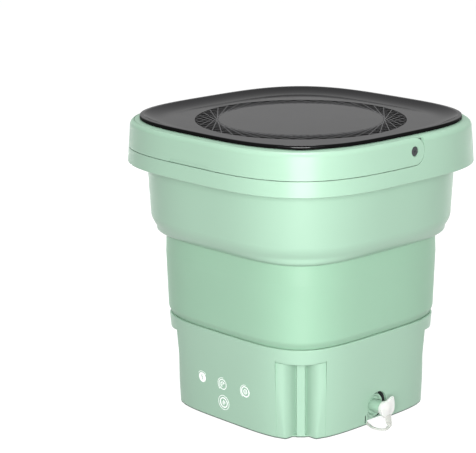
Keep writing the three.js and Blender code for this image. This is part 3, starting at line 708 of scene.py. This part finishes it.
def upper_wall():
    """The wide section: a curved lip, a shoulder and a nearly upright wall up to the rim."""
    lip_half, shoulder_half, top_half = 116.2, 132.2, 134.5
    shoulder, roll, thick = 201.0, 1.6, 2.3
    outer = []
    inner = []
    steps = 16
    for step in range(steps + 1):
        angle = math.pi / 2 * step / steps
        across = abs(math.sin(angle)) ** (2 / roll)
        down = abs(math.cos(angle)) ** (2 / roll)
        outer.append((lip_half + (shoulder_half - lip_half) * across,
                      shoulder - (shoulder - LIP_BOTTOM) * down))
        inner.append((lip_half + (shoulder_half - lip_half - thick) * across,
                      shoulder - (shoulder - LIP_BOTTOM - thick) * down))
    outline = [(114.7, LIP_BOTTOM + 0.3), *outer, (top_half, RIM_BOTTOM), (top_half, WALL_TOP - 0.3),
               (top_half - 0.3, WALL_TOP), (top_half - thick, WALL_TOP), (top_half - thick, RIM_BOTTOM),
               *reversed(inner), (114.7, LIP_BOTTOM + 1.9)]
    wall = squared("upper_shell", filled(outline, 6))
    finished(wall, "shell", "upper_tub", ["upper_wall"])


fold_wall()
upper_wall()


# ---------------------------------------------------------------- rim and handle
def handle_side(margin, open_above):
    """Side view (y, z) of the handle's slot or bar, with its round end at the pivot."""
    radius = BOSS_RADIUS + margin
    outline = [(-200.0, PIVOT_Z - radius)]
    last = 0 if open_above else 90
    steps = 24
    for step in range(steps + 1):
        angle = math.radians(-90 + (last + 90) * step / steps)
        outline.append((PIVOT_Y + radius * math.cos(angle), PIVOT_Z + radius * math.sin(angle)))
    if open_above:
        outline.append((PIVOT_Y + radius, PIVOT_Z + 40))
        outline.append((-200.0, PIVOT_Z + 40))
    else:
        outline.append((-200.0, PIVOT_Z + radius))
    return outline


RIM_FACE = [(RIM_HALF_TOP, RIM_TOP, 8.0), (RIM_HALF, RIM_BOTTOM, 0.9)]


def corner_pocket():
    """Side view (y, z) of the deeper hollow behind the handle's round end."""
    near, far = PIVOT_Y + 3.0, PIVOT_Y + BOSS_RADIUS + SLOT_MARGIN
    return [(near, PIVOT_Z + 5), (far, PIVOT_Z + 1), (far, RIM_TOP - 2.8), (near, RIM_TOP - 2.8)]


def pin_hole(radius, near):
    """A round cutter on the pivot's line, from near out past the rim's face on the same side."""
    outline = [(radius, near), (radius, math.copysign(160, near))]
    return turned("pin_hole", outline, along_x(PIVOT_Y, PIVOT_Z), sides=32)


def rim_frame():
    outline = rounded([
        (129.4, 258, 0.5), (129.4, 291.5, 0.5), (134.9, 291.5, 0.3), (134.9, RIM_TOP, 0.5), *RIM_FACE,
        (135.0, RIM_BOTTOM, 0.3), (135.0, 258, 0.3),
    ], 6)
    rim = squared("rim_band", filled(outline, 8))
    slot = side_prism("slot", handle_side(SLOT_MARGIN, True))
    core = squared("core", [(60, 200), (SLOT_INNER, 200), (SLOT_INNER, 340), (60, 340)], closed=False)
    slot = combine(slot, core)
    rim = combine(rim, slot)
    for side in (1, -1):
        rim = combine(rim, pin_hole(PIN_BORE, side * 132))
        rim = combine(rim, side_prism("corner_pocket", corner_pocket(), side * POCKET_FLOOR, side * 145.5))
    finished(rim, "shell", "upper_tub", ["rim_frame"])


def handle_hollow_shades():
    """A dark pad in the hollow behind each round end of the handle: painted shade that darkens the hollow."""
    for side, name in ((1, "handle_hollow_shade_right"), (-1, "handle_hollow_shade_left")):
        pad = side_prism(name, corner_pocket(), side * (POCKET_FLOOR + 0.2), side * (SLOT_INNER - 0.2))
        finished(pad, "rubber", "upper_tub", material=MATERIALS["edge"])


def notch_outline():
    """Front view (x, z) of the finger notch in the handle's lower edge."""
    low = PIVOT_Z - BOSS_RADIUS
    left = [(-NOTCH_HALF - 3, low - 5), (-NOTCH_HALF - 3, low)]
    for share in (0.0, 0.25, 0.5, 0.75, 1.0):
        x = -NOTCH_HALF - 3 + 5 * share
        left.append((x, low + NOTCH_HEIGHT * share * share * (3 - 2 * share)))
    return left + [(-x, z) for x, z in reversed(left)]


def handle():
    band = squared("carry_bail", filled(rounded([
        (137, RIM_BOTTOM, 0.3), (137, RIM_TOP, 0.3), *RIM_FACE,
    ], 7), 8))
    lip = HANDLE_INNER - 0.8
    core = squared("core", [(60, 200), (HANDLE_INNER, 200), (HANDLE_INNER, 295.0), (lip, 295.8),
                            (lip, 340), (60, 340)], closed=False)
    band = combine(band, core)
    band = combine(band, side_prism("bail_side", handle_side(BAIL_MARGIN, False)), "INTERSECT")
    notch = prism("notch", notch_outline(), -165, 1.9 - RIM_HALF, lambda x, z, depth: (x, depth, z))
    band = combine(band, notch)
    for side in (1, -1):
        band = combine(band, pin_hole(PIN_BORE, side * 140))
        band = combine(band, pin_hole(5.0, side * (PIN_FACE - 1.5)))
    finished(band, "shell", "carry_handle", ["handle"])


def pivot_pins():
    outline = [
        (0.01, 138.6), (2.7, 138.6), (3.0, 139.0), (3.0, PIN_FACE - 1.2), (4.3, PIN_FACE - 1.2),
        (4.6, PIN_FACE - 0.9), (4.6, PIN_FACE - 0.4), (4.2, PIN_FACE), (1.4, PIN_FACE),
        (1.2, PIN_FACE - 0.6), (0.01, PIN_FACE - 0.6),
    ]
    right = along_x(PIVOT_Y, PIVOT_Z)
    left = Matrix.Rotation(math.pi, 4, "Z") @ along_x(-PIVOT_Y, PIVOT_Z)
    for node, place in (("pivot_pin_right", right), ("pivot_pin_left", left)):
        pin = turned(node + "_turned", outline, place, sides=32)
        finished(pin, "inner_plastic", "upper_tub", [node])


rim_frame()
handle_hollow_shades()
handle()
pivot_pins()


# ---------------------------------------------------------------- lid
RING_INNER, RING_OUTER = 83.5, 105.5
RING_BARS, BAR_HALF = 44, 0.42
LID_FLAT = LID_TOP - 5.5
DISH_FLAT, DISH_BROW = 116.0, 136.6
EDGE_FROM = 138.6  # the lid's dark edge starts this far out
TAB_RADIUS, TAB_REACH = 39.0, 164.6


def dish_outline():
    """The lid's upper face: flat in the middle, curling up to a brow."""
    dish = [(4, LID_FLAT, 0)]
    for step in range(13):
        share = step / 12
        across = DISH_FLAT + (DISH_BROW - DISH_FLAT) * share
        dish.append((across, LID_FLAT + (LID_TOP - LID_FLAT) * share ** 2.6, 0))
    return dish


def finger_tab():
    """A disc that shows as a low bulge past the lid's front corner."""
    middle = (TAB_REACH - TAB_RADIUS) * math.sqrt(0.5)
    place = Matrix.Translation((middle, -middle, 0))
    outline = rounded([(0.01, 297.6, 0), (TAB_RADIUS, 297.6, 0.8), (TAB_RADIUS, 299.9, 0.9),
                       (0.01, 299.9, 0)], 3)
    tab = turned("lid_tab", outline, place, sides=120)
    core = squared("core", [(60, 280), (137, 280), (137, 320), (60, 320)], closed=False)
    return combine(tab, core)


def blacken_edge(panel):
    """Gives the lid's outer edge faces their own duller, less reflective black: painted shade, so the edge
    looks darker than the top.
    """
    panel.data.materials.append(MATERIALS["lid_edge"])
    for face in panel.data.polygons:
        x, y = face.center.x / MM, face.center.y / MM
        across = (abs(x) ** RIM_EXPONENT + abs(y) ** RIM_EXPONENT) ** (1 / RIM_EXPONENT)
        face.material_index = int(across > EDGE_FROM and face.normal.z < 0.6)


def lid_panel():
    outline = rounded([
        *dish_outline(), (140.1, LID_TOP, 0.7),
        (140.1, 297.3, 0.6), (134.4, 297.3, 0.2), (134.4, 293.1, 0.2), (128.8, 293.1, 0.2),
        (128.8, 286.5, 0.3), (126.4, 286.5, 0.3), (126.4, 292.7, 0.3), (4, 292.7, 0),
    ], 6)
    panel = squared("lid_plate", outline, closed=False)
    panel = combine(panel, ring_band("bed", 0.6, LID_FLAT - 0.5, LID_FLAT + 2))
    panel = combine(panel, finger_tab(), "UNION")
    finished(panel, "lid", "lid", ["lid_panel"], sharp=28)
    blacken_edge(panel)


def ring_band(name, margin, bottom, top):
    """A flat ring that covers the patterned band and a margin on both sides."""
    inner, outer = RING_INNER - margin, RING_OUTER + margin
    outline = [(inner, bottom), (outer, bottom), (outer, top), (inner, top)]
    return turned(name, outline, closed=True, sides=144)


def ring_bed():
    """The dark band that the ring's lines lie on."""
    bed = ring_band("lid_ring_bed", 0.5, LID_FLAT - 0.45, LID_FLAT - 0.12)
    finished(bed, "lid", "lid", material=MATERIALS["lid_ring"])


def ring_lines():
    """Straight bars tangent to the ring's inner circle, leaning both ways."""
    points = []
    faces = []
    reach = math.sqrt(RING_OUTER ** 2 - RING_INNER ** 2)
    section = ((-BAR_HALF, -0.35), (BAR_HALF, -0.35), (BAR_HALF * 0.7, 0), (-BAR_HALF * 0.7, 0))
    for lean, top in ((1, LID_FLAT - 0.02), (-1, LID_FLAT - 0.04)):
        for index in range(RING_BARS):
            turn = 2 * math.pi * (index + 0.25 * lean) / RING_BARS
            radial = Vector((math.cos(turn), math.sin(turn), 0))
            tangent = Vector((-math.sin(turn), math.cos(turn), 0)) * lean
            first = len(points)
            for along in (0, reach):
                for across, z in section:
                    place = radial * (RING_INNER + across) + tangent * along
                    points.append((place.x, place.y, top + z))
            a, b = first, first + 4
            faces += [(a, a + 1, b + 1, b), (a + 1, a + 2, b + 2, b + 1), (a + 2, a + 3, b + 3, b + 2),
                      (a + 3, a, b, b + 3), (a, a + 3, a + 2, a + 1), (b, b + 1, b + 2, b + 3)]
    lines = solid("lid_ring_lines", points, faces)
    finished(lines, "lid", "lid", material=MATERIALS["lid_lines"])


def lid_seal():
    outline = rounded([(129.9, 291.8, 0.3), (133.9, 291.8, 0.3), (133.9, 292.8, 0.3), (129.9, 292.8, 0.3)], 3)
    finished(squared("lid_seal_ring", outline), "silicone", "lid", ["lid_seal"])


lid_panel()
ring_bed()
ring_lines()
lid_seal()


# ---------------------------------------------------------------- touch icons
ICON_LIFT = 0.12
START_ICON, MODE_ICON, RINSE_ICON, POWER_ICON = (-31.9, 40.6), (-1.5, 40.4), (31.3, 40.7), (-1.6, 20.8)


def on_face(x, z, lift):
    """A point on the control side's outer face."""
    power = exponent_at(z)
    return x, -(base_half(z) ** power - abs(x) ** power) ** (1 / power) - lift, z


def across_line(x, z, nx, nz):
    """The four corners of a raised line's section, whose half width is (nx, nz)."""
    return [on_face(x + nx, z + nz, -0.1), on_face(x - nx, z - nz, -0.1),
            on_face(x - nx * 0.9, z - nz * 0.9, ICON_LIFT), on_face(x + nx * 0.9, z + nz * 0.9, ICON_LIFT)]


def stroke(points, width):
    """A thin raised line through (x, z) points on the control face."""
    count = len(points)
    rows = []
    for index in range(count):
        x0, z0 = points[max(index - 1, 0)]
        x1, z1 = points[min(index + 1, count - 1)]
        length = math.hypot(x1 - x0, z1 - z0)
        nx, nz = -(z1 - z0) / length * width / 2, (x1 - x0) / length * width / 2
        rows.append(across_line(*points[index], nx, nz))
    return stacked("stroke", rows)


def arc_points(x, z, radius, first, last, steps=40):
    return [(x + radius * math.cos(math.radians(first + (last - first) * step / steps)),
             z + radius * math.sin(math.radians(first + (last - first) * step / steps)))
            for step in range(steps + 1)]


def full_circle(x, z, radius, width):
    points = arc_points(x, z, radius, 0, 360, 48)[:-1]
    rows = []
    for px, pz in points:
        nx, nz = (px - x) / radius * width / 2, (pz - z) / radius * width / 2
        rows.append(across_line(px, pz, nx, nz))
    return stacked("circle", rows, closed=True)


def round_patch(x, z, radius):
    rings = []
    for reach, lift in ((1.0, -0.1), (1.0, ICON_LIFT * 0.8), (0.97, ICON_LIFT)):
        rings.append([on_face(px, pz, lift) for px, pz in arc_points(x, z, radius * reach, 0, 360, 48)[:-1]])
    return stacked("patch", rings)


def touch_icons():
    """The four printed signs on the control side."""
    x, z = START_ICON
    marks = [round_patch(x, z, 5.2), stroke(arc_points(x, z, 6.7, 35, 145), 0.5)]
    x, z = MODE_ICON
    marks += [full_circle(x, z, 5.2, 0.8), stroke(arc_points(x, z, 7.0, 80, 235), 0.55)]
    marks += [stroke(arc_points(x, z, 2.6, 20, 250), 0.9), stroke([(x - 1.2, z), (x + 2.6, z + 1.2)], 0.8)]
    x, z = RINSE_ICON
    marks += [full_circle(x, z, 5.2, 1.1), stroke(arc_points(x, z, 7.0, 80, 235), 0.55)]
    marks += [full_circle(x, z, 2.2, 0.8), round_patch(x, z, 0.7)]
    x, z = POWER_ICON
    marks += [full_circle(x, z, 7.6, 0.6), full_circle(x, z, 5.0, 1.2)]
    marks += [stroke([(x, z - 2.6), (x, z + 2.6)], 0.9), stroke([(x - 2.6, z), (x + 2.6, z)], 0.9)]
    marks += [stroke([(x - 1.9, z - 1.9), (x + 1.9, z + 1.9)], 0.7)]
    icons = merged("touch_icons", marks)
    finished(icons, "shell", "base", material=MATERIALS["print"])


def start_symbol():
    """The mint sign in the middle of the filled start icon, just above its print."""
    x, z = START_ICON
    symbol = merged("start_symbol", [stroke([(x, z - 2.6), (x, z + 0.6)], 1.0),
                                     stroke(arc_points(x, z + 1.6, 1.1, 0, 360, 20), 0.6)])
    for vertex in symbol.data.vertices:
        vertex.co.y -= 0.1 * MM
    finished(symbol, "shell", "base")


touch_icons()
start_symbol()


# ---------------------------------------------------------------- drain spout, plug and strap
STRAP_STEPS, STRAP_THICK = 72, 0.9
TONGUE_HALF, BAND_HALF = 4.1, 1.6


def drain_spout():
    outline = rounded([
        (BORE_RADIUS, 88, 0.3), (5.7, 88, 0.3), (5.7, 94.5, 0.2), (11, 94.5, 0.3), (11, 96.8, 0.3),
        (SPOUT_RADIUS, 96.8, 0.2), (SPOUT_RADIUS, NICHE_FLOOR + 0.2, 0.2), (12.0, NICHE_FLOOR + 0.2, 0.2),
        (12.0, 105.6, 0.8), (10.6, 105.6, 1.0), (9.0, 102.6, 1.0), (6.4, 102.6, 0.6), (6.2, SPOUT_END, 0.8),
        (BORE_RADIUS, SPOUT_END, 0.5),
    ], 4)
    spout = turned("drain_nozzle", outline, along_x(DRAIN_Y, DRAIN_Z), closed=True)
    finished(spout, "shell", "base", ["drain_spout"])


def niche_shade_ring():
    """A dark ring against the niche's wall: painted shade for the shadowed gap round the spout's collar."""
    outline = rounded([
        (12.5, 100.0, 0), (13.5, 100.0, 0), (13.5, 105.4, 0.3), (12.9, 105.4, 0.3), (12.5, 104.0, 0.2),
    ], 3)
    seal = turned("niche_shade_ring", outline, along_x(NICHE_Y, NICHE_Z), closed=True)
    finished(seal, "rubber", "base")


def bowed(start, bow, end, share):
    """The point at a share of the way along a quadratic curve."""
    return start * (1 - share) ** 2 + bow * 2 * share * (1 - share) + end * share ** 2


def plug_leaf():
    """The pull tab: a leaf that leans away from the cap's middle."""
    y, z = DRAIN_Y + 1.0, DRAIN_Z
    tip, left = (y + 8.4, z + 11.2), (y - 9.6, z + 1.5)
    foot, right = (y - 2.0, z - 9.5), (y + 9.6, z - 3.0)
    sides = [
        (tip, (y - 3.0, z + 8.5), left),
        (left, (y - 9.0, z - 6.5), foot),
        (foot, (y + 6.5, z - 9.0), right),
        (right, (y + 11.0, z + 4.0), tip),
    ]
    outline = []
    for start, bow, end in sides:
        for step in range(12):
            outline.append(tuple(bowed(Vector(start), Vector(bow), Vector(end), step / 12)))
    middle = Vector((y, z + 3))
    rings = []
    for x, shrink in ((120.3, 0.94), (120.6, 1.0), (122.9, 1.0), (123.3, 0.97), (123.5, 0.9)):
        ring = []
        for a, b in outline:
            spot = middle + (Vector((a, b)) - middle) * shrink
            ring.append((x, spot.x, spot.y))
        rings.append(ring)
    return stacked("plug_leaf", rings)


def drain_plug():
    stem = turned("plug_stem", rounded([
        (0.01, 102, 0), (3.8, 102, 1.0), (4.0, SPOUT_END + 0.3, 0), (7.4, SPOUT_END + 0.3, 0.6),
        (7.8, 120.6, 0.8), (7.8, 123.4, 1.6), (0.01, 124.6, 0),
    ], 5), along_x(DRAIN_Y, DRAIN_Z))
    plug = combine(stem, plug_leaf(), "UNION")
    finished(plug, "silicone", "plug", ["drain_plug"])


def smooth_path(points, count):
    """Points along a Catmull-Rom curve through the given ones."""
    path = []
    last = len(points) - 1
    for index in range(count + 1):
        place = last * index / count
        part = min(int(place), last - 1)
        share = place - part
        spots = [Vector(points[max(0, min(last, part + offset))]) for offset in (-1, 0, 1, 2)]
        path.append(0.5 * (2 * spots[1] + (spots[2] - spots[0]) * share
                           + (2 * spots[0] - 5 * spots[1] + 4 * spots[2] - spots[3]) * share ** 2
                           + (3 * spots[1] - spots[0] - 3 * spots[2] + spots[3]) * share ** 3))
    return path


def plug_strap():
    """The strap: a flat tongue down from the cap, then a narrow band that loops back to the housing."""
    route = [
        (122.6, DRAIN_Y + 1.0, DRAIN_Z - 5), (123.6, DRAIN_Y + 1.2, DRAIN_Z - 10),
        (125.0, DRAIN_Y + 0.6, 4.0), (128.6, -5.6, 2.0), (130.0, -11.5, 1.6), (126.5, -15.4, 1.6),
        (118.5, -16.6, 1.6), (110.5, -14.0, 1.8), (104.0, -12.0, 2.6), (100.2, -10.6, 3.6),
    ]
    path = smooth_path(route, STRAP_STEPS)
    sides = 16
    rings = []
    for index, point in enumerate(path):
        share = index / STRAP_STEPS
        ahead = (path[min(index + 1, STRAP_STEPS)] - path[max(index - 1, 0)]).normalized()
        twist = min(1.0, max(0.0, (share - 0.22) / 0.18))
        across = Vector((0, 1, 0)) * (1 - twist) + ahead.cross(Vector((0, 0, 1))) * twist
        across = (across - ahead * across.dot(ahead)).normalized()
        above = across.cross(ahead)
        narrowing = min(1.0, max(0.0, (share - 0.2) / 0.15))
        half_width = TONGUE_HALF + (BAND_HALF - TONGUE_HALF) * narrowing
        ring = []
        for side in range(sides):
            angle = 2 * math.pi * side / sides
            aside = math.copysign(abs(math.cos(angle)) ** 0.7, math.cos(angle)) * half_width
            up = math.copysign(abs(math.sin(angle)) ** 0.7, math.sin(angle)) * STRAP_THICK
            ring.append(tuple(point + across * aside + above * up))
        rings.append(ring)
    strap = stacked("plug_strap", rings)
    finished(strap, "silicone", None, ["plug_tether"], material=MATERIALS["strap"])
    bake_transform(strap)


drain_spout()
niche_shade_ring()
drain_plug()
plug_strap()


# ---------------------------------------------------------------- inside the tub
VANE_TURNS = (0, 120, 240)
VANE_HALF = 3.6
HOLE_ROWS = ((26, 3), (33, 4), (40, 5), (47, 6))  # radius of each row and its number of holes
HOLE_TURN = 62  # degrees from a vane's start to the middle of the first row
HOLE_GAP = 330  # degrees between neighbours, times the row's radius
HOLE_LEAN = 0.5  # degrees that the rows move round for each millimetre outwards


def vane(turn):
    """One curved vane of the pulsator, widest in the middle and blunt at its ends."""
    start, bow, end = Vector((7, 0, 0)), Vector((30, -5, 0)), Vector((56.5, 16, 0))
    foot = 93.0
    rings = []
    steps = 30
    sides = 18
    for index in range(steps + 1):
        share = index / steps
        point = bowed(start, bow, end, share)
        ahead = ((bow - start) * (1 - share) + (end - bow) * share).normalized()
        across = Vector((-ahead.y, ahead.x, 0))
        taper = math.sin(math.pi * min(1.0, 0.06 + share * 0.94)) ** 0.35
        half = VANE_HALF * max(taper, 0.25)
        crest = 101.8 - 6.2 * share ** 1.6
        ring = []
        for side in range(sides):
            angle = 2 * math.pi * side / sides
            z = foot + (crest - foot) * max(0.0, math.sin(angle)) + 0.8 * min(0.0, math.sin(angle))
            spot = point + across * half * math.cos(angle)
            ring.append((spot.x, spot.y, z))
        rings.append(ring)
    piece = stacked("vane", rings)
    piece.data.transform(Matrix.Rotation(math.radians(turn), 4, "Z"))
    return piece


def pulsator_holes():
    """Cutters for the groups of small holes between the vanes, as one object."""
    holes = []
    for turn in VANE_TURNS:
        for reach, count in HOLE_ROWS:
            for index in range(count):
                middle = turn + HOLE_TURN + (reach - HOLE_ROWS[0][0]) * HOLE_LEAN
                angle = math.radians(middle + (index - (count - 1) / 2) * HOLE_GAP / reach)
                place = Matrix.Translation((reach * math.cos(angle), reach * math.sin(angle), 0))
                holes.append(turned("hole", [(1.3, 86), (1.3, 105)], place, sides=16))
    return merged("holes", holes)


def pulsator():
    outline = rounded([
        (4.3, 89.6, 0.3), (10, 89.6, 0.3), (10, 91.2, 0.3), (58, 91.2, 1), (59, 89.8, 0.4),
        (61.5, 89.8, 0.5), (61.5, 92.4, 1.0), (57.5, 94.6, 2), (16, 97.2, 5), (11, 102.8, 2),
        (4.8, 102.8, 0.6), (4.8, 100.2, 0.2), (2.3, 100.2, 0.2), (2.3, 96.4, 0.2), (4.3, 96.4, 0.2),
    ], 5)
    plate = turned("pulsator_disc", filled(outline, 5), closed=True, sides=128)
    for turn in VANE_TURNS:
        plate = combine(plate, vane(turn), "UNION")
    plate = combine(plate, pulsator_holes())
    finished(plate, "pulsator", "drive", ["pulsator"])


pulsator()


# ---------------------------------------------------------------- feet
def feet():
    outline = rounded([(0.01, 0.0, 0), (8, 0.0, 0.6), (8, 1.2, 0.2), (2.5, 1.2, 0.1), (2.5, 6.5, 0.3),
                       (1.6, 7.4, 0.2), (0.01, 7.4, 0)], 4)
    for index in range(1, 5):
        low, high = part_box(f"foot_{index}")
        place = Matrix.Translation(((low[0] + high[0]) / 2 / MM, (low[1] + high[1]) / 2 / MM, 0))
        pad = turned(f"foot_pad_{index}", outline, place, sides=40)
        finished(pad, "rubber", "base", [f"foot_{index}"])


feet()


# ---------------------------------------------------------------- CAD pieces that keep their shape
def dress_cad_nodes():
    """Gives every CAD node that still shows the material of its slot."""
    slot_of = {part["node"]: part["material_slot"] for part in frame["record"]["subparts"]}
    for name, node in frame["nodes"].items():
        node.data.materials.clear()
        node.data.materials.append(MATERIALS[slot_of[name]])


dress_cad_nodes()
